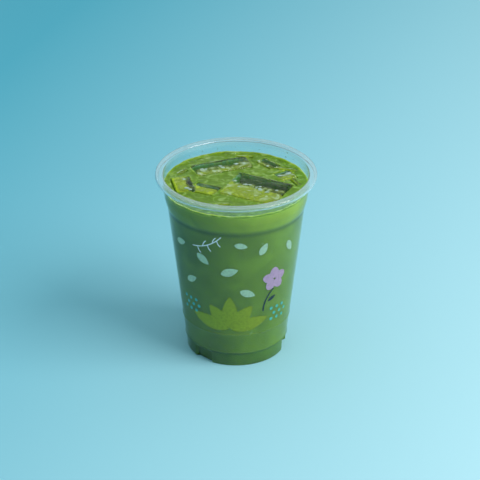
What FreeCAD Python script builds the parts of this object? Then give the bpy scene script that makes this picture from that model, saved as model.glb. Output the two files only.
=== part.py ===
import FreeCAD, Part
import math
import os

import Sketcher
from FreeCAD import Vector

# A clear one-way cup of thin plastic, filled with an iced milk drink. Millimetres, +Z up, the origin at the
# centre of the circle that the cup stands on, and the front towards -Y.

# Driving sizes of the cup and of what is in it: alias, value, what it measures.
CUP_SIZES = [
    ("cupHeight", 119.3, "floor to the top of the rolled lip"),
    ("wallThickness", 0.5, "wall of the cup, the same all over"),
    ("rimRadius", 49.0, "outside of the rolled lip"),
    ("lipWidth", 4.5, "rim to the outside of the wall below it"),
    ("lipDrop", 2.8, "height of the rolled lip"),
    ("lipRound", 1.4, "rounding along the top of the lip"),
    ("lipCurl", 1.1, "rounding where the lip turns in underneath"),
    ("lipTuck", 1.9, "how far the lip's hem reaches in from the rim"),
    ("bandDrop", 14.3, "lip's top down to the foot of the steep band"),
    ("bandInset", 0.8, "how much narrower the wall is there"),
    ("kneeDrop", 18.7, "lip's top down to the middle of the shoulder"),
    ("kneeInset", 1.75, "how much narrower the wall is there"),
    ("shoulderDrop", 21.2, "lip's top down to the crease under the shoulder"),
    ("shoulderInset", 2.6, "how much narrower the wall is there"),
    ("creaseRound", 3.0, "rounding of the crease under the shoulder"),
    ("shoulderRound", 10.0, "rounding of the shoulder's two bends above it"),
    ("ringLevel", 23.8, "height of the fine ring low on the wall"),
    ("ringWidth", 1.2, "height of that ring's own section"),
    ("ringProud", 0.3, "how far it stands out"),
    ("stepLevel", 9.5, "height of the step above the foot"),
    ("stepRadius", 31.85, "outside of the tapered wall at the step"),
    ("stepBead", 0.3, "how far the step's bead stands out"),
    ("stepWidth", 1.1, "height of the step's bead"),
    ("footInset", 0.45, "how much narrower the foot is than the step"),
    ("footTaper", 0.5, "how much the foot narrows down to the floor"),
    ("heelRound", 1.0, "rounding at the foot's outer and inner edge"),
    ("footWidth", 4.0, "width of the ring that the cup stands on"),
    ("puntRadius", 22.0, "flat middle of the raised underside"),
    ("puntHeight", 3.2, "how far the underside is raised"),
    ("puntRound", 1.6, "rounding where the underside turns down"),
    ("dentCount", 3, "recesses round the foot"),
    ("dentDepth", 2.0, "depth of a recess"),
    ("dentAngle", 22.0, "width of a recess, in degrees round the cup"),
    ("dentHead", 0.9, "wall left between a recess and the step"),
    ("dentTurn", -11.0, "direction of the first recess, in degrees from +X"),
    ("levelDrop", 8.5, "lip's top down to the drink's surface"),
]

# Ice that breaks the surface. Plan sizes and places are shares of the cup's mouth radius, so that the blocks still
# fit between each other and the wall in a wider or narrower cup: wide, deep, tall (mm), x, y, rise of the top's
# middle over the drink (mm), turn about Z, and tilt of the top's far side up (degrees).
ICE_FIELDS = ("Wide", "Deep", "Tall", "East", "North", "Rise", "Turn", "Tilt")
ICE_BLOCKS = {
    "ice_large": (0.83, 0.63, 26.0, 0.27, -0.17, 1.3, -27.0, 3.0),
    "ice_long": (0.83, 0.31, 24.0, -0.20, 0.52, 1.4, 21.0, 3.5),
    "ice_left": (0.46, 0.26, 18.0, -0.70, -0.02, 0.9, -77.0, -4.0),
    "ice_back": (0.34, 0.17, 16.0, 0.44, 0.61, 0.8, -47.0, 5.0),
    "ice_right": (0.27, 0.26, 15.0, 0.67, 0.27, 0.5, 30.0, -3.0),
}
ICE_ROUND = 2.0  # melted edges of the ice
FIRST_BEND = 0.3  # radius that a rounded corner is drawn with, before its formula sets it

doc = FreeCAD.newDocument("icedDrink")
sheet = doc.addObject("Spreadsheet::Sheet", "Sizes")


def writeSheet():
    """Puts every driving size into the sheet, one row each: its meaning, and its value under an alias."""
    rows = list(CUP_SIZES)
    for node, values in ICE_BLOCKS.items():
        rows += [(iceAlias(node, field), value, f"{node}: {field}") for field, value in zip(ICE_FIELDS, values)]
    rows.append(("iceRound", ICE_ROUND, "melted edges of the ice"))
    for row, (alias, value, meaning) in enumerate(rows, start=1):
        sheet.set(f"A{row}", meaning)
        sheet.set(f"B{row}", str(value))
        sheet.setAlias(f"B{row}", alias)
    doc.recompute()


def iceAlias(node, field):
    return node.replace("_", "") + field


def bound(formula):
    """The formula with each alias in it pointed at the sheet."""
    words = formula.split()
    known = {name for name, _, _ in CUP_SIZES} | {"iceRound"}
    known |= {iceAlias(node, field) for node in ICE_BLOCKS for field in ICE_FIELDS}
    return " ".join(f"Sizes.{word}" if word in known else word for word in words)


# ---- outlines: corners named, each placed by a formula for its radius and one for its height ----

MOUTH = "( rimRadius - lipWidth )"
LIP_FOOT = "( cupHeight - lipDrop )"
SHOULDER_RADIUS = f"( {MOUTH} - shoulderInset )"
SHOULDER_LEVEL = "( cupHeight - shoulderDrop )"
WALL_SLOPE = f"( {SHOULDER_RADIUS} - stepRadius ) / ( {SHOULDER_LEVEL} - stepLevel )"
RING_RADIUS = f"( stepRadius + ( ringLevel - stepLevel ) * {WALL_SLOPE} )"
FOOT_TOP = "( stepRadius - footInset )"
FOOT_RADIUS = f"( {FOOT_TOP} - footTaper )"


def vesselCorners(inset, top):
    """Half section of the cup's body, or of the space in it when inset is the wall's thickness."""
    return {
        "puntMiddle": ("0", f"puntHeight + {inset}"),
        "puntEdge": (f"puntRadius + {inset}", f"puntHeight + {inset}"),
        "footInside": (f"{FOOT_RADIUS} - footWidth + {inset}", f"{inset}"),
        "heel": (f"{FOOT_RADIUS} - {inset}", f"{inset}"),
        "footTop": (f"{FOOT_TOP} - {inset}", "stepLevel - stepWidth / 2"),
        "stepLow": (f"stepRadius + stepBead - {inset}", "stepLevel"),
        "stepHigh": (f"stepRadius + stepBead - {inset}", "stepLevel + stepWidth / 2"),
        "wallFoot": (f"stepRadius + stepWidth * {WALL_SLOPE} - {inset}", "stepLevel + stepWidth"),
        "ringLow": (f"{RING_RADIUS} - ringWidth / 2 * {WALL_SLOPE} - {inset}", "ringLevel - ringWidth / 2"),
        "ringMiddle": (f"{RING_RADIUS} + ringProud - {inset}", "ringLevel"),
        "ringHigh": (f"{RING_RADIUS} + ringWidth / 2 * {WALL_SLOPE} - {inset}", "ringLevel + ringWidth / 2"),
        "crease": (f"{SHOULDER_RADIUS} - {inset}", SHOULDER_LEVEL),
        "knee": (f"{MOUTH} - kneeInset - {inset}", "cupHeight - kneeDrop"),
        "bandFoot": (f"{MOUTH} - bandInset - {inset}", "cupHeight - bandDrop"),
        "mouth": (f"{MOUTH} - {inset}", LIP_FOOT),
        "mouthTop": (f"{MOUTH} - {inset}", top),
        "topMiddle": ("0", top),
    }


def vesselBends(inset):
    """A bend keeps the wall's thickness: what is convex outside is tighter inside, and what is hollow is wider."""
    return {
        "puntEdge": f"puntRound + {inset}",
        "footInside": f"heelRound - {inset}",
        "heel": f"heelRound - {inset}",
        "crease": f"creaseRound + {inset}",
        "knee": f"shoulderRound - {inset}",
        "bandFoot": f"shoulderRound - {inset}",
    }


def lipCorners():
    """Section of the rolled lip, an upside-down J on top of the wall."""
    hem = "cupHeight - lipDrop"
    return {
        "innerFoot": (f"{MOUTH} - wallThickness", hem),
        "innerTop": (f"{MOUTH} - wallThickness", "cupHeight"),
        "outerTop": ("rimRadius", "cupHeight"),
        "outerFoot": ("rimRadius", hem),
        "hemLow": ("rimRadius - lipTuck", hem),
        "hemHigh": ("rimRadius - lipTuck", f"{hem} + wallThickness"),
        "rollFoot": ("rimRadius - wallThickness", f"{hem} + wallThickness"),
        "rollTop": ("rimRadius - wallThickness", "cupHeight - wallThickness"),
        "wallTop": (MOUTH, "cupHeight - wallThickness"),
        "wallFoot": (MOUTH, hem),
    }


LIP_BENDS = {
    "innerTop": "lipRound",
    "outerTop": "lipRound",
    "outerFoot": "lipCurl",
    "rollFoot": "lipCurl - wallThickness",
    "rollTop": "lipRound - wallThickness",
    "wallTop": "lipRound - wallThickness",
}


def dentCorners(inset):
    """Section of what is pressed into the foot at a recess, up to just under the step."""
    head = f"stepLevel - dentHead + {inset}"
    return {
        "floorInside": (f"{FOOT_RADIUS} - dentDepth - {inset}", "0 - stepWidth"),
        "floorOutside": ("stepRadius + dentDepth", "0 - stepWidth"),
        "headOutside": ("stepRadius + dentDepth", head),
        "headInside": (f"{FOOT_TOP} - dentDepth - {inset}", head),
    }


def originPlane(body, role):
    return next(item for item in body.Origin.OriginFeatures if item.Role == role)


def outlineSketch(body, name, corners, bends=None):
    """A closed outline in the body's XZ plane, every corner held by its two formulas, and some of them rounded."""
    sketch = body.newObject("Sketcher::SketchObject", name)
    sketch.AttachmentSupport = [(originPlane(body, "XZ_Plane"), "")]
    sketch.MapMode = "FlatFace"
    count = len(corners)
    rough = [Vector(60 + 20 * math.cos(2 * math.pi * i / count), 60 + 20 * math.sin(2 * math.pi * i / count), 0)
             for i in range(count)]
    for i in range(count):
        sketch.addGeometry(Part.LineSegment(rough[i], rough[(i + 1) % count]), False)
    for i in range(count):
        sketch.addConstraint(Sketcher.Constraint("Coincident", i, 2, (i + 1) % count, 1))
    for i, (label, (radius, level)) in enumerate(corners.items()):
        if radius == "0":
            sketch.addConstraint(Sketcher.Constraint("PointOnObject", i, 1, -2))
        else:
            across = sketch.addConstraint(Sketcher.Constraint("DistanceX", -1, 1, i, 1, rough[i].x))
            sketch.renameConstraint(across, f"{label}Radius")
            sketch.setExpression(f"Constraints.{label}Radius", bound(radius))
        if level == "0":
            sketch.addConstraint(Sketcher.Constraint("PointOnObject", i, 1, -1))
        else:
            upright = sketch.addConstraint(Sketcher.Constraint("DistanceY", -1, 1, i, 1, rough[i].y))
            sketch.renameConstraint(upright, f"{label}Level")
            sketch.setExpression(f"Constraints.{label}Level", bound(level))
    doc.recompute()
    for label, bend in (bends or {}).items():
        arc = len(sketch.Geometry)
        sketch.fillet(list(corners).index(label), 1, FIRST_BEND, True, True)
        rounding = sketch.addConstraint(Sketcher.Constraint("Radius", arc, FIRST_BEND))
        sketch.renameConstraint(rounding, f"{label}Bend")
        sketch.setExpression(f"Constraints.{label}Bend", bound(bend))
    doc.recompute()
    return sketch


def revolve(body, name, sketch):
    turned = body.newObject("PartDesign::Revolution", name)
    turned.Profile = sketch
    turned.ReferenceAxis = (sketch, ["V_Axis"])
    turned.Angle = 360
    doc.recompute()
    return turned


def roundEdges(body, name, base, edges, radius):
    rounded = body.newObject("PartDesign::Fillet", name)
    rounded.Base = (base, edges)
    rounded.setExpression("Radius", bound(radius))
    doc.recompute()
    return rounded


# ---- the cup: its outside, the space in it, and the lip ----


def vesselBody(name, inset, top):
    """The cup's outer form, or the space inside it, with the recesses pressed into the foot."""
    body = doc.addObject("PartDesign::Body", name)
    sketch = outlineSketch(body, f"{name}Section", vesselCorners(inset, top), vesselBends(inset))
    revolve(body, f"{name}Turned", sketch)

    cutter = outlineSketch(body, f"{name}DentSection", dentCorners(inset))
    dent = body.newObject("PartDesign::Groove", f"{name}Dent")
    dent.Profile = cutter
    dent.ReferenceAxis = (cutter, ["V_Axis"])
    dent.Midplane = True
    spread = f"2 * {inset} / stepRadius * 180 / pi"
    dent.setExpression("Angle", bound(f"dentAngle + {spread}"))
    doc.recompute()
    ring = body.newObject("PartDesign::PolarPattern", f"{name}Dents")
    ring.Originals = [dent]
    ring.Axis = (cutter, ["V_Axis"])
    ring.Angle = 360
    ring.setExpression("Occurrences", bound("dentCount"))
    body.Tip = ring
    doc.recompute()

    body.setExpression("Placement.Rotation.Angle", bound("dentTurn"))
    return body


def lipBody():
    body = doc.addObject("PartDesign::Body", "lip")
    sketch = outlineSketch(body, "lipSection", lipCorners(), LIP_BENDS)
    body.Tip = revolve(body, "lipTurned", sketch)
    return body


def makeCup():
    """One thin-walled piece: the outer form less the space in it, with the lip on its mouth."""
    outside = vesselBody("outside", "0", LIP_FOOT)
    space = vesselBody("space", "wallThickness", "cupHeight")
    shell = doc.addObject("Part::Cut", "shell")
    shell.Base = outside
    shell.Tool = space
    cup = doc.addObject("Part::Fuse", "cup")
    cup.Base = shell
    cup.Tool = lipBody()
    cup.Refine = True
    doc.recompute()
    return cup, space


# ---- what is in it ----


def makeIce(node):
    """A clear block with melted edges, afloat with its top a little over the drink."""
    body = doc.addObject("PartDesign::Body", node)
    part = {field: iceAlias(node, field) for field in ICE_FIELDS}
    sketch = body.newObject("Sketcher::SketchObject", f"{node}Plan")
    sketch.AttachmentSupport = [(originPlane(body, "XY_Plane"), "")]
    sketch.MapMode = "FlatFace"
    ends = [Vector(-10, -5, 0), Vector(10, -5, 0), Vector(10, 5, 0), Vector(-10, 5, 0)]
    for i in range(4):
        sketch.addGeometry(Part.LineSegment(ends[i], ends[(i + 1) % 4]), False)
    for i in range(4):
        sketch.addConstraint(Sketcher.Constraint("Coincident", i, 2, (i + 1) % 4, 1))
        sketch.addConstraint(Sketcher.Constraint("Horizontal" if i % 2 == 0 else "Vertical", i))
    sketch.addConstraint(Sketcher.Constraint("Symmetric", 0, 1, 2, 1, -1, 1))
    wide = sketch.addConstraint(Sketcher.Constraint("DistanceX", 0, 1, 0, 2, 20))
    deep = sketch.addConstraint(Sketcher.Constraint("DistanceY", 1, 1, 1, 2, 10))
    sketch.setExpression(f"Constraints[{wide}]", bound(f"{part['Wide']} * {MOUTH}"))
    sketch.setExpression(f"Constraints[{deep}]", bound(f"{part['Deep']} * {MOUTH}"))
    doc.recompute()
    block = body.newObject("PartDesign::Pad", f"{node}Block")
    block.Profile = sketch
    block.Reversed = True  # the plan is the block's top, so that Rise and Tilt are the top's own
    block.setExpression("Length", bound(part["Tall"]))
    doc.recompute()
    every = [f"Edge{number}" for number in range(1, len(block.Shape.Edges) + 1)]
    body.Tip = roundEdges(body, f"{node}Edges", block, every, "iceRound")
    place = (f"create(<<vector>>; {part['East']} * {MOUTH} * 1 mm; {part['North']} * {MOUTH} * 1 mm; "
             f"( cupHeight - levelDrop + {part['Rise']} ) * 1 mm)")
    turn = f"create(<<rotation>>; {part['Turn']} ; 0 ; {part['Tilt']} )"
    place = bound(place.replace(";", " ; ").replace("(", "( ").replace(")", " )"))
    turn = bound(turn.replace(";", " ; ").replace("(", "( ").replace(")", " )"))
    body.setExpression("Placement", f"create(<<placement>>; {place}; {turn})")
    doc.recompute()
    return body


def makeDrink(space, blocks):
    """The drink fills the cup's space up to its level, round the ice that breaks the surface."""
    upToLevel = doc.addObject("Part::Cylinder", "upToLevel")
    upToLevel.setExpression("Radius", bound("rimRadius"))
    upToLevel.setExpression("Height", bound("cupHeight - levelDrop"))
    filled = doc.addObject("Part::Common", "filled")
    filled.Base = space
    filled.Tool = upToLevel
    ice = doc.addObject("Part::MultiFuse", "allIce")
    ice.Shapes = blocks
    drink = doc.addObject("Part::Cut", "drink")
    drink.Base = filled
    drink.Tool = ice
    doc.recompute()
    return drink


writeSheet()
cup, space = makeCup()
blocks = [makeIce(node) for node in ICE_BLOCKS]
drink = makeDrink(space, blocks)
doc.recompute()

for item in doc.Objects:
    if "Invalid" in item.State or "Error" in item.State:
        raise RuntimeError(f"{item.Name} failed: {item.State}")

nodes = {"cup": cup, "drink": drink}
nodes.update({node: block for node, block in zip(ICE_BLOCKS, blocks)})
for node, item in nodes.items():
    item.Label = node
    shape = item.Shape
    if shape.isNull() or not shape.isValid() or len(shape.Solids) != 1:
        raise RuntimeError(f"{node} is not one sound solid")
    box = shape.BoundBox
    print(f"{node}: {shape.Volume / 1000:.2f} ml, z {box.ZMin:.2f} to {box.ZMax:.2f}")

os.makedirs("parts", exist_ok=True)
for node, item in nodes.items():
    item.Shape.exportStep(f"parts/{node}.step")
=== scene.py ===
import math
import random

import bpy
from mathutils import Matrix, Vector, noise


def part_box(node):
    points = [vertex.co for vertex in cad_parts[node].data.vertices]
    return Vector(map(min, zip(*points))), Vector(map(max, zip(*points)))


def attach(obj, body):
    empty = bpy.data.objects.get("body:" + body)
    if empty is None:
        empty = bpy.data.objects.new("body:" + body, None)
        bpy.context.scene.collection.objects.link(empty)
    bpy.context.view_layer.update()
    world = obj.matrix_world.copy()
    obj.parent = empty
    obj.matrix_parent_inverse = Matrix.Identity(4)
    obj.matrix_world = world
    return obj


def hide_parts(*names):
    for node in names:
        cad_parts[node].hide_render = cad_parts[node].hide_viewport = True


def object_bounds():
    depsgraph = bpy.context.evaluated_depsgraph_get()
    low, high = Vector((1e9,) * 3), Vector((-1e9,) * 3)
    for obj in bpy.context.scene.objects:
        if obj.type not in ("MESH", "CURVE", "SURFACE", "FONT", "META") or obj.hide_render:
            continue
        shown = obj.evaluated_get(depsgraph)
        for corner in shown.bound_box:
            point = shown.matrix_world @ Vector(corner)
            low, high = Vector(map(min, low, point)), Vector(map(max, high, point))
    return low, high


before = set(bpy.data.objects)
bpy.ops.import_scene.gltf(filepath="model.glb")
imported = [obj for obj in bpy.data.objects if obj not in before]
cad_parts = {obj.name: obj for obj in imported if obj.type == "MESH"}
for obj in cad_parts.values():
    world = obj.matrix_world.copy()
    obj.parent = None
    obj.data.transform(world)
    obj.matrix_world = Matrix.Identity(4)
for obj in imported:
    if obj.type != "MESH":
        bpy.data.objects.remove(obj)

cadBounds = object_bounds()
mm = 0.001
random.seed(7)


# Helpers for colours, nodes, selection and the frame

def hexColour(text):  # sRGB hex to the linear values that shaders take
    parts = [int(text[i:i + 2], 16) / 255 for i in (1, 3, 5)]
    return tuple(p / 12.92 if p <= 0.04045 else ((p + 0.055) / 1.055) ** 2.4 for p in parts) + (1.0,)


def grey(value):  # linear, for masks
    return (value, value, value, 1)


def addNode(tree, kind, settings=None, links=None, stops=()):  # sockets go by name or number, stops by place
    node = tree.nodes.new(kind)
    for key, value in (settings or {}).items():
        if isinstance(key, int) or key in node.inputs:
            node.inputs[key].default_value = value
        else:
            setattr(node, key, value)
    for key, source in (links or {}).items():
        tree.links.new(source, node.inputs[key])
    while stops and len(node.color_ramp.elements) < len(stops):
        node.color_ramp.elements.new(0.5)
    for k, (spot, colour) in enumerate(stops):
        node.color_ramp.elements[k].position = spot
        node.color_ramp.elements[k].color = colour
    return node


def newMaterial(name):
    material = bpy.data.materials.new(name)
    material.use_nodes = True
    material.node_tree.nodes.clear()
    tree = material.node_tree
    return material, tree, addNode(tree, "ShaderNodeOutputMaterial")


def passShadows(tree, out, shader, tint):  # shadow rays go through, so that lamps reach what is behind
    clear = addNode(tree, "ShaderNodeBsdfTransparent", {"Color": hexColour(tint)})
    path = addNode(tree, "ShaderNodeLightPath")
    mix = addNode(tree, "ShaderNodeMixShader", links={
        0: path.outputs["Is Shadow Ray"],
        1: shader.outputs[0],
        2: clear.outputs[0],
    })
    tree.links.new(mix.outputs[0], out.inputs["Surface"])


def objectMode():
    if bpy.context.mode != "OBJECT":
        bpy.ops.object.mode_set(mode="OBJECT")
    bpy.ops.object.select_all(action="DESELECT")


def pick(piece):
    objectMode()
    piece.select_set(True)
    bpy.context.view_layer.objects.active = piece


def applyModifiers(piece):
    pick(piece)
    for name in [m.name for m in piece.modifiers]:
        bpy.ops.object.modifier_apply(modifier=name)


def smoothStep(low, high, value):
    part = min(max((value - low) / (high - low), 0), 1)
    return part * part * (3 - 2 * part)


def place(piece, material, slot, *nodes):
    piece.data.materials.clear()
    piece.data.materials.append(material)
    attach(piece, "root")
    if nodes:
        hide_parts(*nodes)


# Outlines that are turned about the cup's axis
arcStep = 15  # degrees of a bend from one point to the next


def roundOutline(corners):  # each corner is (radius, height, bend), and a bend becomes a short arc
    points = []
    for i, (r, z, bend) in enumerate(corners):
        if bend <= 0 or i in (0, len(corners) - 1):
            points.append((r, z))
            continue
        here = Vector((r, z))
        back = (Vector(corners[i - 1][:2]) - here).normalized()
        ahead = (Vector(corners[i + 1][:2]) - here).normalized()
        half = back.angle(ahead) / 2
        reach = bend / math.tan(half)
        centre = here + (back + ahead).normalized() * (bend / math.sin(half))
        start = here + back * reach - centre
        sweep = (here + ahead * reach - centre).angle_signed(start)
        steps = max(2, round(abs(sweep) / math.radians(arcStep)))
        for k in range(steps + 1):
            turn = Matrix.Rotation(sweep * k / steps, 2)
            points.append(tuple(centre + turn @ start))
    return points


def lathe(name, outline, segments):  # a circle is added, then extruded and scaled ring by ring
    objectMode()
    r, z = outline[0]
    bpy.ops.mesh.primitive_circle_add(vertices=segments, radius=r, location=(0, 0, 0))
    piece = bpy.context.object
    piece.name = name
    bpy.ops.object.mode_set(mode="EDIT")
    bpy.ops.transform.translate(value=(0, 0, z))
    for nextR, nextZ in outline[1:]:
        bpy.ops.mesh.extrude_region_move(TRANSFORM_OT_translate={"value": (0, 0, nextZ - z)})
        bpy.ops.transform.resize(value=(nextR / r, nextR / r, 1), center_override=(0, 0, nextZ))
        r, z = nextR, nextZ
    bpy.ops.mesh.select_all(action="SELECT")
    bpy.ops.mesh.fill_holes(sides=0)
    bpy.ops.mesh.select_all(action="SELECT")
    bpy.ops.mesh.normals_make_consistent(inside=False)
    objectMode()
    return piece


# The cup: thermoformed, with a rolled lip and a recessed foot
shell = {
    "height": cadBounds[1][2],
    "rim": (cadBounds[1][0] - cadBounds[0][0]) / 2,
    "wall": 0.5 * mm,
    "lipWidth": 4.5 * mm,
    "lipDrop": 2.8 * mm,
    "lipRound": 1.4 * mm,
    "lipCurl": 1.1 * mm,
    "lipTuck": 1.9 * mm,
    "lipEdge": 0.2 * mm,
    "bandDrop": 14.3 * mm,
    "bandInset": 0.8 * mm,
    "bandBend": 10 * mm,
    "kneeDrop": 18.7 * mm,
    "kneeInset": 1.75 * mm,
    "shoulderDrop": 21.2 * mm,
    "shoulderInset": 2.6 * mm,
    "shoulderBend": 3 * mm,
    "ringLevel": 23.8 * mm,
    "ringWidth": 1.2 * mm,
    "ringProud": 0.3 * mm,
    "ringBend": 0.4 * mm,
    "ringEdge": 0.3 * mm,
    "stepLevel": 9.5 * mm,
    "stepRadius": 31.85 * mm,
    "stepBead": 0.3 * mm,
    "stepWidth": 1.1 * mm,
    "stepBend": 0.3 * mm,
    "wallBend": 0.5 * mm,
    "footInset": 0.45 * mm,
    "footTaper": 0.5 * mm,
    "footWidth": 4.0 * mm,
    "footRing": 4 * mm,  # one more ring of points, halfway up the foot
    "footBend": 0.2 * mm,
    "heelRound": 1.0 * mm,
    "puntRadius": 22 * mm,
    "puntHeight": 3.2 * mm,
    "puntBend": 1.6 * mm,
    "firstRing": 2 * mm,  # the ring round the axis that the outline starts from
    "dentDepth": 2.0 * mm,
    "dentAngle": 22,
    "dentHead": 0.9 * mm,
    "dentRamp": 0.7 * mm,
    "dentClear": 0.6 * mm,
    "dentTurns": (-11, 109, 229),
    "segments": 288,
    "smoothAngle": 50,
    "colour": "#eef9fb",
    "shadow": "#eef6f6",
    "haze": 0.06,  # how much less the curled lip lets through
}
mouth = shell["rim"] - shell["lipWidth"]
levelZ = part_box("drink")[1][2]
bandFoot = shell["height"] - shell["bandDrop"]
lipFoot = shell["height"] - shell["lipDrop"]
shoulderR = mouth - shell["shoulderInset"]
shoulderZ = shell["height"] - shell["shoulderDrop"]
wallSlope = (shoulderR - shell["stepRadius"]) / (shoulderZ - shell["stepLevel"])
ringR = shell["stepRadius"] + (shell["ringLevel"] - shell["stepLevel"]) * wallSlope
footTop = shell["stepRadius"] - shell["footInset"]
footR = footTop - shell["footTaper"]
dentTop = shell["stepLevel"] - shell["dentHead"]


def wallRadius(z):  # outside of the tapered wall between the step and the shoulder
    return shell["stepRadius"] + (z - shell["stepLevel"]) * wallSlope


def bandRadius(z):  # outside of the upper band, between the knee and the lip
    share = (z - bandFoot) / (lipFoot - bandFoot)
    return mouth - shell["bandInset"] * (1 - share)


def vesselCorners(inset):  # from the middle of the underside up to just under the lip
    halfRing = shell["ringWidth"] / 2
    halfStep = shell["stepWidth"] / 2
    beadR = shell["stepRadius"] + shell["stepBead"] - inset
    wallFoot = shell["stepLevel"] + shell["stepWidth"]
    dentLow = dentTop - shell["dentRamp"]
    footSlope = shell["footTaper"] / shell["stepLevel"]
    return [
        (shell["firstRing"], shell["puntHeight"] + inset, 0),
        (shell["puntRadius"] + inset, shell["puntHeight"] + inset, shell["puntBend"] + inset),
        (footR - shell["footWidth"] + inset, inset, shell["heelRound"] - inset),
        (footR - inset, inset, shell["heelRound"] - inset),
        (footR + shell["footRing"] * footSlope - inset, shell["footRing"], 0),
        (footR + dentLow * footSlope - inset, dentLow, 0),
        (footR + dentTop * footSlope - inset, dentTop, 0),
        (footTop - inset, shell["stepLevel"] - halfStep, shell["footBend"]),
        (beadR, shell["stepLevel"], shell["stepBend"]),
        (beadR, shell["stepLevel"] + halfStep, shell["stepBend"]),
        (wallRadius(wallFoot) - inset, wallFoot, shell["wallBend"]),
        (ringR - halfRing * wallSlope - inset, shell["ringLevel"] - halfRing, shell["ringEdge"]),
        (ringR + shell["ringProud"] - inset, shell["ringLevel"], shell["ringBend"]),
        (ringR + halfRing * wallSlope - inset, shell["ringLevel"] + halfRing, shell["ringEdge"]),
        (shoulderR - inset, shoulderZ, shell["shoulderBend"] + inset),
        (mouth - shell["kneeInset"] - inset, shell["height"] - shell["kneeDrop"], shell["bandBend"] - inset),
        (mouth - shell["bandInset"] - inset, bandFoot, shell["bandBend"] - inset),
        (mouth - inset, lipFoot, 0),
    ]


def lipCorners():  # the roll: over its hollow, down to its edge, and back over the top to the wall's inside
    w, rim, top, edge = shell["wall"], shell["rim"], shell["height"], shell["lipEdge"]
    inside = shell["lipRound"] - w
    return [
        (mouth, top - w, inside),
        (rim - w, top - w, inside),
        (rim - w, lipFoot + w, shell["lipCurl"] - w),
        (rim - shell["lipTuck"], lipFoot + w, edge),
        (rim - shell["lipTuck"], lipFoot, edge),
        (rim, lipFoot, shell["lipCurl"]),
        (rim, top, shell["lipRound"]),
        (mouth - w, top, shell["lipRound"]),
    ]


def pressDents(piece):  # three recesses pressed into the foot, walls and all
    half = math.radians(shell["dentAngle"] / 2)
    edge = shell["dentRamp"] / footR
    heelR = footR - shell["footWidth"]
    for vertex in piece.data.vertices:
        x, y, z = vertex.co
        r = math.hypot(x, y)
        if z > dentTop or r < heelR + shell["dentClear"]:
            continue
        for turn in shell["dentTurns"]:
            off = abs((math.atan2(y, x) - math.radians(turn) + math.pi) % (2 * math.pi) - math.pi)
            amount = smoothStep(half + edge, half - edge, off)
            amount *= smoothStep(dentTop, dentTop - shell["dentRamp"], z)
            shift = shell["dentDepth"] * amount * min((r - heelR) / shell["footWidth"], 1)
            vertex.co.x -= shift * x / r
            vertex.co.y -= shift * y / r


def makeCup():
    inside = list(reversed(vesselCorners(shell["wall"])))
    outline = roundOutline(vesselCorners(0) + lipCorners() + inside)
    cup = lathe("clearCup", outline, shell["segments"])
    pressDents(cup)
    pick(cup)
    bpy.ops.object.shade_smooth_by_angle(angle=math.radians(shell["smoothAngle"]))
    return cup


def petMaterial():
    # PET sheet, thermoformed: clear and glossy, with a faint waviness from forming, and a little milky where
    # the lip is curled over.
    material, tree, out = newMaterial("clearThermoformedPet")
    place3d = addNode(tree, "ShaderNodeTexCoord").outputs["Object"]
    waves = addNode(tree, "ShaderNodeTexNoise", {"Scale": 1 / (14 * mm), "Detail": 1.0}, {"Vector": place3d})
    bump = addNode(tree, "ShaderNodeBump", {"Strength": 0.12, "Distance": 0.3 * mm},
                   {"Height": waves.outputs["Fac"]})
    height = addNode(tree, "ShaderNodeSeparateXYZ", links={"Vector": place3d})
    curled = addNode(tree, "ShaderNodeMapRange", {
        "From Min": lipFoot - 1.5 * mm,
        "From Max": lipFoot + 0.5 * mm,
        "To Min": 1.0,
        "To Max": 1 - shell["haze"],
    }, {"Value": height.outputs["Z"]})
    pet = addNode(tree, "ShaderNodeBsdfPrincipled", {
        "Base Color": hexColour(shell["colour"]),
        "Roughness": 0.03,
        "IOR": 1.57,
    }, {"Normal": bump.outputs["Normal"], "Transmission Weight": curled.outputs["Result"]})
    passShadows(tree, out, pet, shell["shadow"])
    return material


cup = makeCup()
place(cup, petMaterial(), "cup", "cup")
print("cup made:", len(cup.data.polygons), "faces")


# The ice: sizes are wide, deep and tall in mm, turns and tilts in degrees. The window is where clear ice
# gives way to milk, as a share of the depth from the middle, and film is how much of the milk stays on top.
iceSizes = {  # the blocks that break the surface, which stand where their CAD nodes do
    "ice_large": {"size": (36.9, 28.0, 26), "turn": -27, "tilt": 3.0, "window": 0.12, "film": 0.5},
    "ice_long": {"size": (36.9, 13.8, 24), "turn": 21, "tilt": 3.5, "window": 0.0, "film": 0.62},
    "ice_left": {"size": (20.5, 11.6, 18), "turn": -77, "tilt": -4.0, "window": 0.25, "film": 0.42},
    "ice_back": {"size": (15.1, 7.6, 16), "turn": -47, "tilt": 5.0, "window": -0.1, "film": 0.6},
    "ice_right": {"size": (12.0, 11.6, 15), "turn": 30, "tilt": -3.0, "window": 0.1, "film": 0.6},
}
sunkSizes = {  # pieces just under the surface: their middles, and how far their tops stand over it (mm)
    "sunkFront": {"size": (17, 12, 7), "at": (-18.3, -6.6), "rise": 0.6,
                  "turn": -26, "tilt": 4, "window": 0.2, "film": 0.35},
    "sunkRight": {"size": (15, 3.4, 5), "at": (31.5, 20.5), "rise": 0.35,
                  "turn": -18, "tilt": 8, "window": 0.0, "film": 0.5},
    "sunkEdge": {"size": (11, 2.6, 5), "at": (36.5, 2.5), "rise": 0.3,
                 "turn": -62, "tilt": -8, "window": 0.0, "film": 0.4},
    "sunkLeft": {"size": (9, 2.8, 5), "at": (-33.5, 17.0), "rise": 0.4,
                 "turn": 48, "tilt": 6, "window": 0.0, "film": 0.5},
    "sunkNear": {"size": (13, 3.0, 5), "at": (-9.5, -27.0), "rise": 0.3,
                 "turn": 12, "tilt": 6, "window": 0.1, "film": 0.4},
    "sunkFar": {"size": (12, 2.4, 5), "at": (5.0, 38.5), "rise": 0.3,
                "turn": -4, "tilt": 5, "window": 0.1, "film": 0.4},
}
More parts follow.
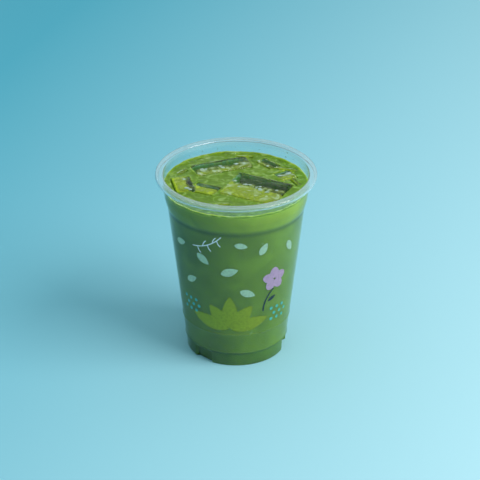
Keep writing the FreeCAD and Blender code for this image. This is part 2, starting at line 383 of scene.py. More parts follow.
iceLook = {
    "round": 1.6 * mm,
    "roundShare": 0.3,  # of the thinnest side, at most
    "segments": 4,
    "cell": 0.75 * mm,
    "melt": 0.4 * mm,
    "lumps": 110,  # waves for each metre, so one is about 9 mm wide
    "pits": 420,  # and about 2.4 mm
    "pitShare": 0.35,
    "divideBlur": 1.5 * mm,
    "divideWave": 2.5 * mm,
    "backEdge": 0.7,
    "backFrom": 1.9 * mm,  # a film on the far edge too, which starts and is full this far from it
    "backFull": 1.1 * mm,
    "upFrom": 0.5,  # how level a face has to be to hold a film
    "upFull": 0.85,
    "filmWeight": 0.55,  # against the patchiness of the milk
    "clear": "#e4f2e0",
    "thinFilm": "#9aae30",
    "film": "#a3b55c",
    "thickFilm": "#b9cbaa",
    "shadow": "#e6f2e4",
}
iceBlocks = {}
for node, block in iceSizes.items():
    low, high = (Vector(v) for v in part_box(node))
    iceBlocks[node] = dict(block, middle=(low + high) / 2)
for name, block in sunkSizes.items():
    top = levelZ + (block["rise"] - block["size"][2] / 2) * mm
    iceBlocks[name] = dict(block, middle=Vector((block["at"][0] * mm, block["at"][1] * mm, top)))


def blockTurn(block):
    turn = Matrix.Rotation(math.radians(block["turn"]), 4, "Z")
    return turn @ Matrix.Rotation(math.radians(block["tilt"]), 4, "X")


def makeBlock(name, block):  # a cube is scaled, rounded, divided, melted a little, and set in place
    wide, deep, tall = (v * mm for v in block["size"])
    objectMode()
    bpy.ops.mesh.primitive_cube_add(size=1)
    piece = bpy.context.object
    piece.name = name
    bpy.ops.object.mode_set(mode="EDIT")
    bpy.ops.transform.resize(value=(wide, deep, tall))
    bend = min(iceLook["round"], min(wide, deep, tall) * iceLook["roundShare"])
    bpy.ops.mesh.bevel(offset=bend, segments=iceLook["segments"], affect="EDGES")
    pick(piece)
    even = piece.modifiers.new("even", "REMESH")
    even.mode = "VOXEL"
    even.voxel_size = iceLook["cell"]
    applyModifiers(piece)
    meltBlock(piece, block)
    piece.data.transform(Matrix.Translation(block["middle"]) @ blockTurn(block))
    pick(piece)
    bpy.ops.object.shade_smooth()
    return piece


def meltBlock(piece, block):  # lumps and pits, and the attribute that says where milk clings
    wide, deep, tall = (v * mm for v in block["size"])
    divide, blur = block["window"] * deep, iceLook["divideBlur"]
    film = piece.data.attributes.new("film", "FLOAT", "POINT")
    for i, vertex in enumerate(piece.data.vertices):
        spot = vertex.co.copy()
        grain = noise.noise(spot * iceLook["lumps"] + Vector((wide, deep, tall)) * 1000)
        fine = noise.noise(spot * iceLook["pits"] + Vector((deep, tall, wide)) * 1000)
        vertex.co += vertex.normal * (grain + iceLook["pitShare"] * fine) * iceLook["melt"]
        front = smoothStep(divide + blur, divide - blur, spot.y + iceLook["divideWave"] * grain)
        back = smoothStep(deep / 2 - iceLook["backFrom"], deep / 2 - iceLook["backFull"], spot.y)
        level = smoothStep(iceLook["upFrom"], iceLook["upFull"], vertex.normal.z)
        film.data[i].value = (block["film"] * front + back * iceLook["backEdge"]) * level


def iceMaterial():
    # Clear wet ice, frozen in a tray and half melted: glassy, with a rippled skin, and milk clings to it in
    # thin patches.
    material, tree, out = newMaterial("clearWetIce")
    place3d = addNode(tree, "ShaderNodeTexCoord").outputs["Object"]
    ripple = addNode(tree, "ShaderNodeTexNoise", {"Scale": 1 / (4 * mm), "Detail": 3.0}, {"Vector": place3d})
    patch = addNode(tree, "ShaderNodeTexNoise", {"Scale": 1 / (7 * mm), "Detail": 4.0, "Distortion": 1.2},
                    {"Vector": place3d})
    film = addNode(tree, "ShaderNodeAttribute", {"attribute_name": "film"})
    total = addNode(tree, "ShaderNodeMath", {"operation": "MULTIPLY_ADD", 1: iceLook["filmWeight"]},
                    {0: film.outputs["Fac"], 2: patch.outputs["Fac"]})
    mask = addNode(tree, "ShaderNodeValToRGB", links={"Fac": total.outputs[0]},
                   stops=[(0.58, grey(0)), (0.78, grey(0.35)), (1.0, grey(0.85))])
    clearness = addNode(tree, "ShaderNodeInvert", links={"Color": mask.outputs["Color"]})
    tint = addNode(tree, "ShaderNodeValToRGB", links={"Fac": mask.outputs["Color"]}, stops=[
        (0.0, hexColour(iceLook["clear"])),
        (0.2, hexColour(iceLook["thinFilm"])),
        (0.5, hexColour(iceLook["film"])),
        (0.8, hexColour(iceLook["thickFilm"])),
    ])
    bump = addNode(tree, "ShaderNodeBump", {"Strength": 0.8, "Distance": 1.1 * mm},
                   {"Height": ripple.outputs["Fac"]})
    ice = addNode(tree, "ShaderNodeBsdfPrincipled", {"Roughness": 0.05, "IOR": 1.31}, {
        "Base Color": tint.outputs["Color"],
        "Transmission Weight": clearness.outputs["Color"],
        "Normal": bump.outputs["Normal"],
    })
    passShadows(tree, out, ice, iceLook["shadow"])
    return material


wetIce = iceMaterial()
for name, block in iceBlocks.items():
    piece = makeBlock(name.replace("ice_", "iceBlock_"), block)
    place(piece, wetIce, "ice", *([name] if name in iceSizes else []))
print("ice made:", len(iceBlocks), "blocks")


# The drink: one body up to its level, with pits that the ice stands in
pour = {
    "intoWall": 0.2 * mm,  # how far it reaches into the cup's wall
    "meniscus": 0.9 * mm,
    "meniscusReach": 1.1 * mm,
    "ringStep": 0.55 * mm,
    "lastRing": 1 * mm,
    "ripple": 0.34 * mm,
    "ripples": 150,  # waves for each metre, so one is about 7 mm wide
    "fineRipples": 420,  # and about 2.4 mm
    "fineShare": 0.4,
    "climb": 0.5 * mm,  # the drink climbs the ice's sides
    "climbReach": 1.3 * mm,
    "pitInset": 0.3 * mm,  # the pits are this much smaller than the ice
    "pitEdge": 1.3 * mm,
    "groove": 1.5 * mm,
    "grooveEnd": 1 * mm,
    "darkDepth": 13 * mm,
    "divideBlur": 1.2 * mm,
    "window": 0.6,  # depths as shares of the ice's height
    "shallow": 0.14,
    "smoothAngle": 35,
}
teaLook = {
    # foot to bandTop: painted light and shade by height, darker at the foot, the step and the crease, and
    # brighter in the band under the surface where light comes in through the top
    "foot": "#668f26",
    "stepShade": "#43702a",
    "low": "#7ea02a",
    "middle": "#82a424",
    "crease": "#628524",
    "band": "#a0be28",
    "bandTop": "#a2bc30",
    "surface": "#70901c",
    "surfaceDark": "#5d7c14",
    "surfaceMilk": "#9bb45c",
    # pitTopReflection to groove: painted light and shade in the pits, a teal reflection near the top, darker
    # further down and in the groove, and a bright slab of milk lit from above through the ice
    "pitTopReflection": "#6aa88c",
    "pitWallShade": "#3f8024",
    "pitDeepShade": "#4a7a10",
    "slab": "#c6d02c",
    "groove": "#4a6c14",
    "bubble": "#a3c48c",
    "drift": "#d4dccf",
}


def inBlock(block, x, y):  # a place on the drink, along and across a block from its middle
    turn = math.radians(block["turn"])
    dx, dy = x - block["middle"].x, y - block["middle"].y
    return dx * math.cos(turn) + dy * math.sin(turn), dy * math.cos(turn) - dx * math.sin(turn)


def distanceToBlock(block, x, y):  # in plan, zero inside
    along, across = inBlock(block, x, y)
    beside = abs(along) - block["size"][0] * mm / 2
    ahead = abs(across) - block["size"][1] * mm / 2
    return math.hypot(max(beside, 0), max(ahead, 0))


def surfaceRise(x, y, edge):
    rise = pour["meniscus"] * math.exp(-(edge - math.hypot(x, y)) / pour["meniscusReach"])
    rise += pour["ripple"] * noise.noise(Vector((x, y, 0)) * pour["ripples"])
    rise += pour["fineShare"] * pour["ripple"] * noise.noise(Vector((x, y, 5)) * pour["fineRipples"])
    climb = max(math.exp(-distanceToBlock(block, x, y) / pour["climbReach"]) for block in iceBlocks.values())
    return rise + pour["climb"] * climb


def pitDepth(x, y):  # in front milk lies close under the ice's top, and behind the ice is clear further down
    depth, slab = 0, 0
    for block in iceBlocks.values():
        along, across = inBlock(block, x, y)
        wide, deep, tall = (v * mm for v in block["size"])
        inside = min(wide / 2 - abs(along), deep / 2 - abs(across)) - pour["pitInset"]
        beside = abs(along) < wide / 2 - pour["grooveEnd"] and across < 0
        if beside and -pour["groove"] < inside <= 0:  # a thin shadow gap along the front
            depth = max(depth, pour["groove"] * math.sin(-math.pi * inside / pour["groove"]))
        if inside > 0:
            divide = block["window"] * deep
            front = smoothStep(divide + pour["divideBlur"], divide - pour["divideBlur"], across)
            full = pour["window"] * tall * (1 - front) + pour["shallow"] * tall * front
            here = full * smoothStep(0, pour["pitEdge"], inside)
            if here > depth:
                depth, slab = here, front
    return depth, slab


def makeDrink():
    grown = shell["wall"] - pour["intoWall"]
    corners = [corner for corner in vesselCorners(grown) if corner[1] < levelZ]
    topR = bandRadius(levelZ) - grown
    outline = roundOutline(corners + [(topR, levelZ, 0)])
    count = int((topR - pour["lastRing"]) / pour["ringStep"])
    outline += [(topR - (topR - pour["lastRing"]) * (k / count), levelZ) for k in range(1, count + 1)]
    drink = lathe("milkTea", outline, shell["segments"])
    pressDents(drink)
    pit = drink.data.attributes.new("pit", "FLOAT", "POINT")
    milk = drink.data.attributes.new("slab", "FLOAT", "POINT")
    for i, vertex in enumerate(drink.data.vertices):
        if vertex.co.z > levelZ - 0.01 * mm:  # only the rings of the surface
            x, y, _ = vertex.co
            depth, slab = pitDepth(x, y)
            vertex.co.z += surfaceRise(x, y, topR) - depth
            pit.data[i].value = smoothStep(0.1 * mm, 0.8 * mm, depth)
            milk.data[i].value = slab
    pick(drink)
    bpy.ops.object.shade_smooth_by_angle(angle=math.radians(pour["smoothAngle"]))
    return drink


def teaSides(tree, place3d, height):  # painted light and shade by height (a darker foot, step and crease, and a brighter, yellower band under the surface where light comes in through the top), drifts of powder, and bubbles at the wall
    rise = addNode(tree, "ShaderNodeMapRange", {"From Min": 0.0, "From Max": shell["height"]},
                   {"Value": height})
    crease = shoulderZ / shell["height"]
    step = shell["stepLevel"] / shell["height"]
    # painted shade at the foot, the step and the crease, and painted light in the band under the surface
    shadeByHeight = addNode(tree, "ShaderNodeValToRGB", links={"Fac": rise.outputs["Result"]}, stops=[
        (step - 0.012, hexColour(teaLook["foot"])),
        (step - 0.003, hexColour(teaLook["stepShade"])),
        (step + 0.01, hexColour(teaLook["low"])),
        (shell["ringLevel"] / shell["height"], hexColour(teaLook["low"])),
        (0.5, hexColour(teaLook["middle"])),
        (crease - 0.025, hexColour(teaLook["middle"])),
        (crease - 0.004, hexColour(teaLook["crease"])),
        (crease + 0.02, hexColour(teaLook["band"])),
        (levelZ / shell["height"] - 0.02, hexColour(teaLook["bandTop"])),
    ])
    swirl = addNode(tree, "ShaderNodeTexNoise", {"Scale": 1 / (18 * mm), "Detail": 3.0, "Distortion": 0.6},
                    {"Vector": place3d})
    drift = addNode(tree, "ShaderNodeValToRGB", links={"Fac": swirl.outputs["Fac"]},
                    stops=[(0.3, hexColour(teaLook["drift"])), (0.7, grey(1))])
    sides = addNode(tree, "ShaderNodeMix", {"data_type": "RGBA", "blend_type": "MULTIPLY", 0: 1.0},
                    {6: shadeByHeight.outputs["Color"], 7: drift.outputs["Color"]})
    cells = addNode(tree, "ShaderNodeTexVoronoi", {"Scale": 1 / (9 * mm)}, {"Vector": place3d})
    spots = addNode(tree, "ShaderNodeValToRGB", links={"Fac": cells.outputs["Distance"]},
                    stops=[(0.04, grey(0.35)), (0.1, grey(0))])
    return addNode(tree, "ShaderNodeMix", {"data_type": "RGBA", 7: hexColour(teaLook["bubble"])},
                   {0: spots.outputs["Color"], 6: sides.outputs[2]}).outputs[2]


def teaPits(tree, height):  # painted shade under clear ice, darker further down and in the groove, with a painted teal reflection near the top, and painted light on the pale slab of milk close to its top
    depth = addNode(tree, "ShaderNodeMapRange", {"From Min": levelZ, "From Max": levelZ - pour["darkDepth"]},
                    {"Value": height})
    # painted shade: darker with depth and in the groove, and a painted teal reflection near the top
    wall = addNode(tree, "ShaderNodeValToRGB", links={"Fac": depth.outputs["Result"]}, stops=[
        (0.1, hexColour(teaLook["groove"])),
        (0.16, hexColour(teaLook["pitTopReflection"])),
        (0.3, hexColour(teaLook["pitWallShade"])),
        (0.8, hexColour(teaLook["pitDeepShade"])),
    ])
    slab = addNode(tree, "ShaderNodeAttribute", {"attribute_name": "slab"})
    # painted light: the slab is brighter where light comes down through the ice
    return addNode(tree, "ShaderNodeMix", {"data_type": "RGBA", 7: hexColour(teaLook["slab"])},
                   {0: slab.outputs["Fac"], 6: wall.outputs["Color"]}).outputs[2]


def milkTeaMaterial():
    # Milk with powdered green tea: opaque and wet. Light spreads a few millimetres in it before it comes out,
    # the powder settles into darker drifts, and milk streaks the surface.
    material, tree, out = newMaterial("milkyGreenTea")
    place3d = addNode(tree, "ShaderNodeTexCoord").outputs["Object"]
    height = addNode(tree, "ShaderNodeSeparateXYZ", links={"Vector": place3d}).outputs["Z"]
    streak = addNode(tree, "ShaderNodeTexNoise", {"Scale": 1 / (6 * mm), "Detail": 4.0, "Distortion": 1.5},
                     {"Vector": place3d})
    surface = addNode(tree, "ShaderNodeValToRGB", links={"Fac": streak.outputs["Fac"]}, stops=[
        (0.32, hexColour(teaLook["surfaceDark"])),
        (0.52, hexColour(teaLook["surface"])),
        (0.72, hexColour(teaLook["surfaceMilk"])),
    ])
    onTop = addNode(tree, "ShaderNodeMapRange", {
        "From Min": levelZ - 0.7 * mm,
        "From Max": levelZ - 0.3 * mm,
    }, {"Value": height})
    colour = addNode(tree, "ShaderNodeMix", {"data_type": "RGBA"}, {
        0: onTop.outputs["Result"],
        6: teaSides(tree, place3d, height),
        7: surface.outputs["Color"],
    })
    pit = addNode(tree, "ShaderNodeAttribute", {"attribute_name": "pit"})
    whole = addNode(tree, "ShaderNodeMix", {"data_type": "RGBA"}, {
        0: pit.outputs["Fac"],
        6: colour.outputs[2],
        7: teaPits(tree, height),
    })
    bump = addNode(tree, "ShaderNodeBump", {"Strength": 0.25, "Distance": 0.6 * mm},
                   {"Height": streak.outputs["Fac"]})
    tea = addNode(tree, "ShaderNodeBsdfPrincipled", {
        "Roughness": 0.16,
        "IOR": 1.35,
        "Specular IOR Level": 0.3,
        "Subsurface Weight": 1.0,
        "Subsurface Radius": (1.0, 1.0, 0.35),
        "Subsurface Scale": 7 * mm,
    }, {"Base Color": whole.outputs[2], "Normal": bump.outputs["Normal"]})
    tree.links.new(tea.outputs[0], out.inputs["Surface"])
    return material


drink = makeDrink()
place(drink, milkTeaMaterial(), "drink", "drink")
print("drink made:", len(drink.data.polygons), "faces")


# The print: flat motifs in a few inks, wrapped on the outside of the wall, the same on the front and the back
inks = {
    "mint": "#a3c2a4",
    "pink": "#b392b0",
    "navy": "#0d2f38",
    "white": "#e3efe8",
    "olive": "#83961a",
    "teal": "#48b2a4",
}
printLook = {
    "fronts": (-90, 90),  # degrees round the cup
    "proud": 0.03 * mm,
    "layer": 0.04 * mm,  # navy and teal lie over the other inks
    "thick": 0.03 * mm,
    "shade": 0.8,  # how dark the ink is where it is darkest
    # the rest is in mm, along the wall from the middle of its front and up from the foot, turned in degrees
    "leaves": ((-21, 78, 10, -38), (-4, 71, 11, 18), (17, 86, 9, 60), (7, 55, 10, -24),
               (3, 90, 8, -12), (-30, 60, 9, 30), (37, 82, 9, -65), (-39, 84, 9, 15)),
    "leafWidth": 0.52,  # as a share of a leaf's length
    "flower": {"at": (25, 62), "petals": 5, "reach": 4.6, "petal": (7.8, 6.6), "blunt": 0.45},
    "stem": {"top": (-0.6, -7), "foot": (-8, -22), "bow": -1.8, "width": 1.0},  # from the flower's middle
    "stemLeaf": {"at": (-1.8, -14), "length": 6.5, "width": 2.4, "turn": 28},
    "twig": {"start": (-28, 86), "end": (-9, 96), "bow": -2.2, "width": 0.65},
    "bud": {"count": 5, "along": 2.2, "out": 4.2, "bow": 0.5, "width": 0.6},
    "fan": ((14, 24), (50, 21), (90, 23), (128, 20), (165, 25)),  # the turn and the length of each leaf
    "fanFoot": (-4, 29),
    "fanReach": 0.52,  # from the fan's foot to a leaf's middle, as a share of its length
    "fanWidth": 9.5,
    "dotFields": ((-36, 37), (23, 32)),
    "dotRows": 3,  # with as many dots in each
    "dotGaps": (4.6, 4),
    "dot": 2.3,
}
inkPieces = {ink: [] for ink in inks}


def wrap(front, ink, s, z):  # from the print's mm, along and up the wall, to a place on the cup
    r = wallRadius(z * mm) + printLook["proud"] + printLook["layer"] * (ink in ("navy", "teal"))
    turn = math.radians(front) + s * mm / r
    return Vector((r * math.cos(turn), r * math.sin(turn), z * mm))


def addMotif(front, ink, along, across, shape):  # shape turns a grid's u (0 to 1) and v (-1 to 1) into s, z
    objectMode()
    bpy.ops.mesh.primitive_grid_add(x_subdivisions=along, y_subdivisions=across, size=2)
    piece = bpy.context.object
    for vertex in piece.data.vertices:
        vertex.co = wrap(front, ink, *shape((vertex.co.x + 1) / 2, vertex.co.y))
    inkPieces[ink].append(piece)


def leafShape(s, z, length, width, turn, blunt=0.75):  # widest a little before its middle, with narrow tips
    cosTurn, sinTurn = math.cos(math.radians(turn)), math.sin(math.radians(turn))

    def shape(u, v):
        half = width / 2 * max(math.sin(math.pi * u ** 0.85), 0.02) ** blunt
        x, y = (u - 0.5) * length, v * half
        return s + x * cosTurn - y * sinTurn, z + x * sinTurn + y * cosTurn
    return shape


def strokeShape(start, end, bow, width):  # a line that bows to one side
    along = Vector(end) - Vector(start)
    side = Vector((-along.y, along.x)).normalized()

    def shape(u, v):
        spot = Vector(start) + along * u + side * (bow * 4 * u * (1 - u) + v * width / 2)
        return spot.x, spot.y
    return shape


def addLeaves(front):  # pale leaves, blown about over the upper part
    for s, z, length, turn in printLook["leaves"]:
        addMotif(front, "mint", 14, 4, leafShape(s, z, length, length * printLook["leafWidth"], turn))


def addFlower(front):  # five petals on a thin bowed stem
    flower, stem, leaf = printLook["flower"], printLook["stem"], printLook["stemLeaf"]
    s, z = flower["at"]
    for k in range(flower["petals"]):
        degrees = 90 + 360 / flower["petals"] * k
        turn = math.radians(degrees)
        petal = leafShape(s + flower["reach"] * math.cos(turn), z + flower["reach"] * math.sin(turn),
                          *flower["petal"], degrees, flower["blunt"])
        addMotif(front, "pink", 12, 4, petal)
    top = (s + stem["top"][0], z + stem["top"][1])
    foot = (s + stem["foot"][0], z + stem["foot"][1])
    addMotif(front, "navy", 20, 1, strokeShape(top, foot, stem["bow"], stem["width"]))
    addMotif(front, "navy", 10, 3, leafShape(s + leaf["at"][0], z + leaf["at"][1], leaf["length"],
                                             leaf["width"], leaf["turn"]))


def addSprig(front):  # a thin outlined twig with buds
    twig, bud = printLook["twig"], printLook["bud"]
    addMotif(front, "white", 20, 1, strokeShape(twig["start"], twig["end"], twig["bow"], twig["width"]))
    for k in range(bud["count"]):
        s, z = strokeShape(twig["start"], twig["end"], twig["bow"], 0)((k + 1) / (bud["count"] + 1), 0)
        side = 1 if k % 2 else -1
        tip = (s + bud["along"], z + side * bud["out"])
        addMotif(front, "white", 8, 1, strokeShape((s, z), tip, side * bud["bow"], bud["width"]))


def addShoot(front):  # a fan of broad young leaves low on the wall
    for turn, length in printLook["fan"]:
        reach = printLook["fanReach"] * length
        s = printLook["fanFoot"][0] + reach * math.cos(math.radians(turn))
        z = printLook["fanFoot"][1] + reach * math.sin(math.radians(turn))
        addMotif(front, "olive", 24, 6, leafShape(s, z, length, printLook["fanWidth"], turn, 0.7))


def addDots(front):  # staggered rows of dots on either side of the fan
    size, (gap, rise) = printLook["dot"], printLook["dotGaps"]
    for left, low in printLook["dotFields"]:
        for row in range(printLook["dotRows"]):
            for k in range(printLook["dotRows"]):
                s, z = left + gap * k + gap / 2 * (row % 2), low + rise * row
                addMotif(front, "teal", 8, 4, leafShape(s, z, size, size, 0, 0.5))


def inkMaterial(ink):
    # Screen-printed ink on plastic: thin and matt, a little uneven, so that it is darker in places. The real
    # unevenness is about 0.2 mm wide, and it is drawn at 1.2 mm so that it shows.
    material, tree, out = newMaterial(ink + "PrintedInk")
    place3d = addNode(tree, "ShaderNodeTexCoord").outputs["Object"]
    grain = addNode(tree, "ShaderNodeTexNoise", {"Scale": 1 / (1.2 * mm), "Detail": 2.0}, {"Vector": place3d})
    bright = hexColour(inks[ink])
    dark = [v * printLook["shade"] for v in bright[:3]] + [1]
    colour = addNode(tree, "ShaderNodeValToRGB", links={"Fac": grain.outputs["Fac"]},
                     stops=[(0.35, dark), (0.6, bright)])
    printed = addNode(tree, "ShaderNodeBsdfPrincipled", {"Roughness": 0.45},
                      {"Base Color": colour.outputs["Color"]})
    tree.links.new(printed.outputs[0], out.inputs["Surface"])
    return material


def joinPieces(name, pieces):
    pick(pieces[0])
    for piece in pieces:
        piece.select_set(True)
    bpy.ops.object.join()
    pieces[0].name = name
    return pieces[0]


for front in printLook["fronts"]:
    addLeaves(front)
    addShoot(front)
    addFlower(front)
    addSprig(front)
    addDots(front)
for ink, pieces in inkPieces.items():
    layer = joinPieces(ink + "Print", pieces)
    bpy.ops.object.mode_set(mode="EDIT")
    bpy.ops.mesh.select_all(action="SELECT")
    bpy.ops.mesh.normals_make_consistent(inside=False)
    bpy.ops.object.mode_set(mode="OBJECT")
    thick = layer.modifiers.new("thick", "SOLIDIFY")
    thick.thickness = printLook["thick"]
    thick.offset = 0
    applyModifiers(layer)
    place(layer, inkMaterial(ink), "cup")
print("print made:", len(inkPieces), "inks")


# Bubbles on the drink, droplets on the wall above it, and frost on the ice, whose pale colour is also painted
# glints
dropLook = {
    # x, y and radius of the large bubbles (mm)
    "large": ((-5.4, 39.4, 2.3), (-0.8, 40.6, 1.2), (-31.5, -21.5, 1.5), (-8.6, -30.2, 1.4)),
    "largeRise": 0.2 * mm,
    "divisions": 3,
    "bubbles": 46,
    "droplets": 34,
    "smallest": 0.25 * mm,
    "largest": 0.8 * mm,
    "dropletShare": 0.7,  # droplets are this much of the largest, at most
    "wallGap": 1.4 * mm,
    "spread": 5 * mm,
    "float": 0.15,  # a bubble's middle over the surface, as a share of its radius
    "overDrink": 2 * mm,
    "overBand": 1 * mm,
    "squash": {"large": 0.7, "bubble": 0.8, "droplet": 0.45, "crumb": 0.4},
    "colour": "#f2faf2",
    "shadow": "#f0f8f4",
}
frostLook = {
    "counts": {"ice_large": 13, "ice_long": 8, "ice_left": 5, "ice_back": 2, "ice_right": 3},
    "radius": (0.35, 1.0),  # mm
    "reach": 0.42,  # shares of the block's width and depth
    "spread": 0.12,
    "gap": 1 * mm,
    "proud": 0.05 * mm,
    "stretch": 1.5,
    "rough": 0.5,
    "lumps": 1600,  # waves for each metre, so one is about 0.6 mm wide
    # dark and pale: the frost's colour, and the pale also paints glints
    "dark": "#a9c7a8",
    "pale": "#e2f0ee",
}
up = Vector((0, 0, 1))


def addDrop(middle, radius, squash, normal):
    objectMode()
    bpy.ops.mesh.primitive_ico_sphere_add(subdivisions=dropLook["divisions"], radius=radius)
    drop = bpy.context.object
    turn = normal.to_track_quat("Z", "Y").to_matrix().to_4x4()
    drop.data.transform(Matrix.Translation(middle) @ turn @ Matrix.Diagonal((1, 1, squash, 1)))
    return drop


def joinDrops(name, drops, material, slot):
    piece = joinPieces(name, drops)
    bpy.ops.object.shade_smooth()
    place(piece, material, slot)


def dropMaterial(name, ior):
    # Water as drops and as the skin of bubbles: clear, with a sharp highlight.
    material, tree, out = newMaterial(name)
    place3d = addNode(tree, "ShaderNodeTexCoord").outputs["Object"]
    wobble = addNode(tree, "ShaderNodeTexNoise", {"Scale": 1 / (0.8 * mm)}, {"Vector": place3d})
    bump = addNode(tree, "ShaderNodeBump", {"Strength": 0.1, "Distance": 0.1 * mm},
                   {"Height": wobble.outputs["Fac"]})
    water = addNode(tree, "ShaderNodeBsdfPrincipled", {
        "Base Color": hexColour(dropLook["colour"]),
        "Roughness": 0.02,
        "IOR": ior,
        "Transmission Weight": 1.0,
    }, {"Normal": bump.outputs["Normal"]})
    passShadows(tree, out, water, dropLook["shadow"])
    return material


def addCrumbs():  # slivers of frost on the wet tops, near the edge of the milk, whose pale colour is also painted glints
    crumbs = []
    for name, count in frostLook["counts"].items():
        block = iceBlocks[name]
        wide, deep, tall = (v * mm for v in block["size"])
        for k in range(count):
            x = random.uniform(-frostLook["reach"], frostLook["reach"]) * wide
            y = block["window"] * deep - abs(random.gauss(0, frostLook["spread"] * deep)) - frostLook["gap"]
            top = Vector((x, y, tall / 2 + frostLook["proud"]))
            spot = Matrix.Translation(block["middle"]) @ blockTurn(block) @ top
            crumb = addDrop(spot, random.uniform(*frostLook["radius"]) * mm, dropLook["squash"]["crumb"], up)
            for vertex in crumb.data.vertices:
                vertex.co.x = spot.x + (vertex.co.x - spot.x) * frostLook["stretch"]
                lump = noise.noise(vertex.co * frostLook["lumps"])
                vertex.co += (vertex.co - spot) * frostLook["rough"] * lump
            crumbs.append(crumb)
    return crumbs


def frostMaterial():
    # Frost: crushed wet ice, white from the air in it, with glints; its pale colour is also painted glints.
    material, tree, out = newMaterial("frostPaintedGlint")
    place3d = addNode(tree, "ShaderNodeTexCoord").outputs["Object"]
    grain = addNode(tree, "ShaderNodeTexNoise", {"Scale": 1 / (0.5 * mm)}, {"Vector": place3d})
    colour = addNode(tree, "ShaderNodeValToRGB", links={"Fac": grain.outputs["Fac"]},
                     stops=[(0.35, hexColour(frostLook["dark"])), (0.65, hexColour(frostLook["pale"]))])
    frost = addNode(tree, "ShaderNodeBsdfPrincipled", {
        "Roughness": 0.12,
        "IOR": 1.31,
        "Transmission Weight": 0.35,
    }, {"Base Color": colour.outputs["Color"]})
    tree.links.new(frost.outputs[0], out.inputs["Surface"])
    return material


def addBubbles():  # a few large ones, and small ones that gather towards the wall, clear of the ice
    squash, bubbles = dropLook["squash"], []
    for x, y, radius in dropLook["large"]:
        spot = Vector((x * mm, y * mm, levelZ + dropLook["largeRise"]))
        bubbles.append(addDrop(spot, radius * mm, squash["large"], up))
    edge = bandRadius(levelZ) - shell["wall"]
    for k in range(dropLook["bubbles"]):
        turn = random.uniform(0, 2 * math.pi)
        radius = random.uniform(dropLook["smallest"], dropLook["largest"])
        r = edge - dropLook["wallGap"] - abs(random.gauss(0, dropLook["spread"]))
        x, y = r * math.cos(turn), r * math.sin(turn)
        if min(distanceToBlock(block, x, y) for block in iceBlocks.values()) > radius:
            z = levelZ + surfaceRise(x, y, edge) + dropLook["float"] * radius
            bubbles.append(addDrop(Vector((x, y, z)), radius, squash["bubble"], up))
    return bubbles


def addDroplets():  # on the inside of the wall, between the drink and the lip
    droplets = []
    for k in range(dropLook["droplets"]):
        turn = random.uniform(0, 2 * math.pi)
        z = random.uniform(levelZ + dropLook["overDrink"], lipFoot + dropLook["overBand"])
        radius = random.uniform(dropLook["smallest"], dropLook["dropletShare"] * dropLook["largest"])
        r = bandRadius(min(z, lipFoot)) - shell["wall"]
        inward = Vector((-math.cos(turn), -math.sin(turn), 0))
        spot = Vector((r * math.cos(turn), r * math.sin(turn), z))
        droplets.append(addDrop(spot, radius, dropLook["squash"]["droplet"], inward))
    return droplets


bubbles, droplets = addBubbles(), addDroplets()
joinDrops("foamBubbles", bubbles, dropMaterial("bubbleSkin", 1.28), "drink")
joinDrops("frostGlintCrumbs", addCrumbs(), frostMaterial(), "ice")
joinDrops("wallDroplets", droplets, dropMaterial("clearWater", 1.333), "drink")
print("drops made:", len(bubbles) + len(droplets))


# Floor, light and camera
stageLook = {
    "floorSize": 12,
    # left, middle and right: painted light and shade on the floor, deeper cyan to the left and paler towards
    # the key lamp
    "left": "#5cb9ce",
    "middle": "#a3d8e4",
    "right": "#cbebf2",
    "slant": -0.35,  # painted light: paler to the right and the front, where the key lamp stands
    "fade": 0.35,  # metres from the middle to the left and right colours
    "world": "#c6e7ef",
    "seen": "#e8f4f2",
    "worldStrength": 0.7,
    "seenStrength": 0.68,
    "key": {"spot": (0.95, -0.45, 0.95), "aim": (0, 0, 0.06), "size": (0.95, 0.7), "watts": 14.2},
}
cameraLook = {"lens": 138.75, "sensor": 36, "away": 1.139, "down": 28.65, "aim": (2.35 * mm, 0, 72.1 * mm)}


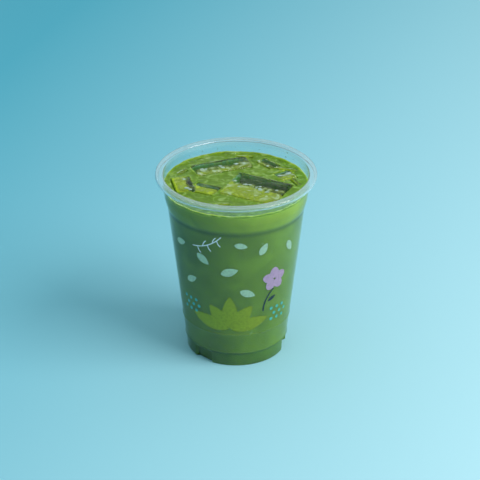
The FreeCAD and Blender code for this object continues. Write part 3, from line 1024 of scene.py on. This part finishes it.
def makeStage():
    objectMode()
    bpy.ops.mesh.primitive_plane_add(size=stageLook["floorSize"])
    floor = bpy.context.object
    floor.name = "floor"
    material, tree, out = newMaterial("paleFloor")
    place3d = addNode(tree, "ShaderNodeTexCoord").outputs["Object"]
    split = addNode(tree, "ShaderNodeSeparateXYZ", links={"Vector": place3d})
    slant = addNode(tree, "ShaderNodeMath", {"operation": "MULTIPLY_ADD", 1: stageLook["slant"]},
                    {0: split.outputs["Y"], 2: split.outputs["X"]})
    across = addNode(tree, "ShaderNodeMapRange", {
        "From Min": -stageLook["fade"],
        "From Max": stageLook["fade"],
    }, {"Value": slant.outputs[0]})
    # painted light: the floor is darker to the left and paler to the right and the front, where the key lamp
    # stands
    colour = addNode(tree, "ShaderNodeValToRGB", links={"Fac": across.outputs["Result"]}, stops=[
        (0.0, hexColour(stageLook["left"])),
        (0.5, hexColour(stageLook["middle"])),
        (1.0, hexColour(stageLook["right"])),
    ])
    plain = addNode(tree, "ShaderNodeBsdfPrincipled", {"Roughness": 0.9},
                    {"Base Color": colour.outputs["Color"]})
    tree.links.new(plain.outputs[0], out.inputs["Surface"])
    floor.data.materials.append(material)


def addLamp(name, spot, aim, size, watts):
    lamp = bpy.data.lights.new(name, "AREA")
    lamp.shape = "RECTANGLE"
    lamp.size, lamp.size_y = size
    lamp.energy = watts
    piece = bpy.data.objects.new(name, lamp)
    piece.location = spot
    piece.rotation_euler = (Vector(aim) - Vector(spot)).to_track_quat("-Z", "Y").to_euler()
    piece.visible_transmission = False  # what is behind the plastic is lit straight through it instead
    bpy.context.scene.collection.objects.link(piece)


def makeWorld():  # glossy plastic and wet ice show a paler room than the one that lights them
    world = bpy.data.worlds.new("softWorld")
    bpy.context.scene.world = world
    world.use_nodes = True
    tree = world.node_tree
    tree.nodes.clear()
    light = addNode(tree, "ShaderNodeBackground", {
        "Color": hexColour(stageLook["world"]),
        "Strength": stageLook["worldStrength"],
    })
    seen = addNode(tree, "ShaderNodeBackground", {
        "Color": hexColour(stageLook["seen"]),
        "Strength": stageLook["seenStrength"],
    })
    path = addNode(tree, "ShaderNodeLightPath")
    mix = addNode(tree, "ShaderNodeMixShader", links={
        0: path.outputs["Is Glossy Ray"],
        1: light.outputs[0],
        2: seen.outputs[0],
    })
    tree.links.new(mix.outputs[0], addNode(tree, "ShaderNodeOutputWorld").inputs["Surface"])


def makeCamera():
    lens = bpy.data.cameras.new("camera")
    lens.lens = cameraLook["lens"]
    lens.sensor_width = cameraLook["sensor"]
    camera = bpy.data.objects.new("camera", lens)
    down = math.radians(cameraLook["down"])
    aim = Vector(cameraLook["aim"])
    camera.location = aim + cameraLook["away"] * Vector((0, -math.cos(down), math.sin(down)))
    camera.rotation_euler = (math.pi / 2 - down, 0, 0)
    bpy.context.scene.collection.objects.link(camera)
    bpy.context.scene.camera = camera


makeStage()
makeWorld()
addLamp("keyLamp", **stageLook["key"])
makeCamera()
bpy.context.scene.view_settings.view_transform = "Standard"
print("stage made")
